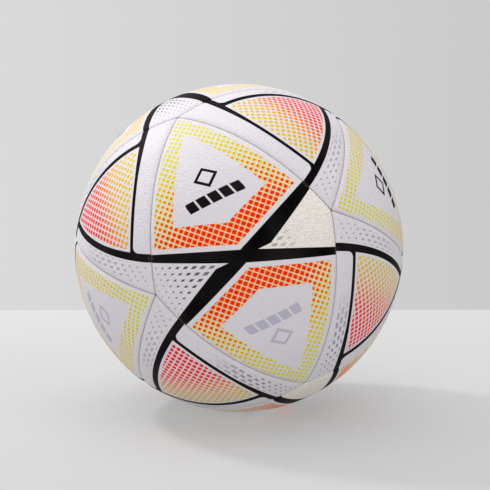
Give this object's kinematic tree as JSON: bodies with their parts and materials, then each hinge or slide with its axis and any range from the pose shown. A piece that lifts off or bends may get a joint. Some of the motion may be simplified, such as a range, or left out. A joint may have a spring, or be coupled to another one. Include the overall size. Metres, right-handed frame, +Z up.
{
  "type": "soccer ball",
  "caption": "Inflatable soccer ball with rhombic and triangular bonded cover panels over foam, a wound carcass, a rubber bladder and a needle valve with a pull-out core",
  "frame": {"origin": "middle of the flat that the ball rests on, straight below the ball's centre", "axes": "+Z up; -Y towards the front, where one rhombic panel faces; +X to the right seen from the front"},
  "size_m": [0.2198, 0.2196, 0.219],
  "materials": {
    "skin": "satin-gloss white polyurethane synthetic leather with a fine embossed grain, printed with black lines and red, orange and yellow dots",
    "foam": "closed-cell foam",
    "adhesive": "cream hot-melt adhesive",
    "carcass": "wound polyester thread set in latex",
    "butyl": "black butyl rubber",
    "silicone": "dark grey silicone rubber"
  },
  "bodies": {
    "ball": {"cover_rhombic_1": "skin", "cover_rhombic_2": "skin", "cover_rhombic_3": "skin", "cover_rhombic_4": "skin", "cover_rhombic_5": "skin", "cover_rhombic_6": "skin", "cover_triangular_1": "skin", "cover_triangular_2": "skin", "cover_triangular_3": "skin", "cover_triangular_4": "skin", "cover_triangular_5": "skin", "cover_triangular_6": "skin", "cover_triangular_7": "skin", "cover_triangular_8": "skin", "foam_rhombic_1": "foam", "foam_rhombic_2": "foam", "foam_rhombic_3": "foam", "foam_rhombic_4": "foam", "foam_rhombic_5": "foam", "foam_rhombic_6": "foam", "foam_triangular_1": "foam", "foam_triangular_2": "foam", "foam_triangular_3": "foam", "foam_triangular_4": "foam", "foam_triangular_5": "foam", "foam_triangular_6": "foam", "foam_triangular_7": "foam", "foam_triangular_8": "foam", "seam_adhesive": "adhesive", "carcass": "carcass", "bladder": "butyl", "valve_housing": "butyl"},
    "valve_core": {"valve_core": "silicone"}
  },
  "joints": [
    {"name": "valve_core_pull", "type": "slide", "parent": "ball", "child": "valve_core", "axis": [-0.0296, 0.9967, -0.075], "range_m": [0, 0.012]}
  ]
}
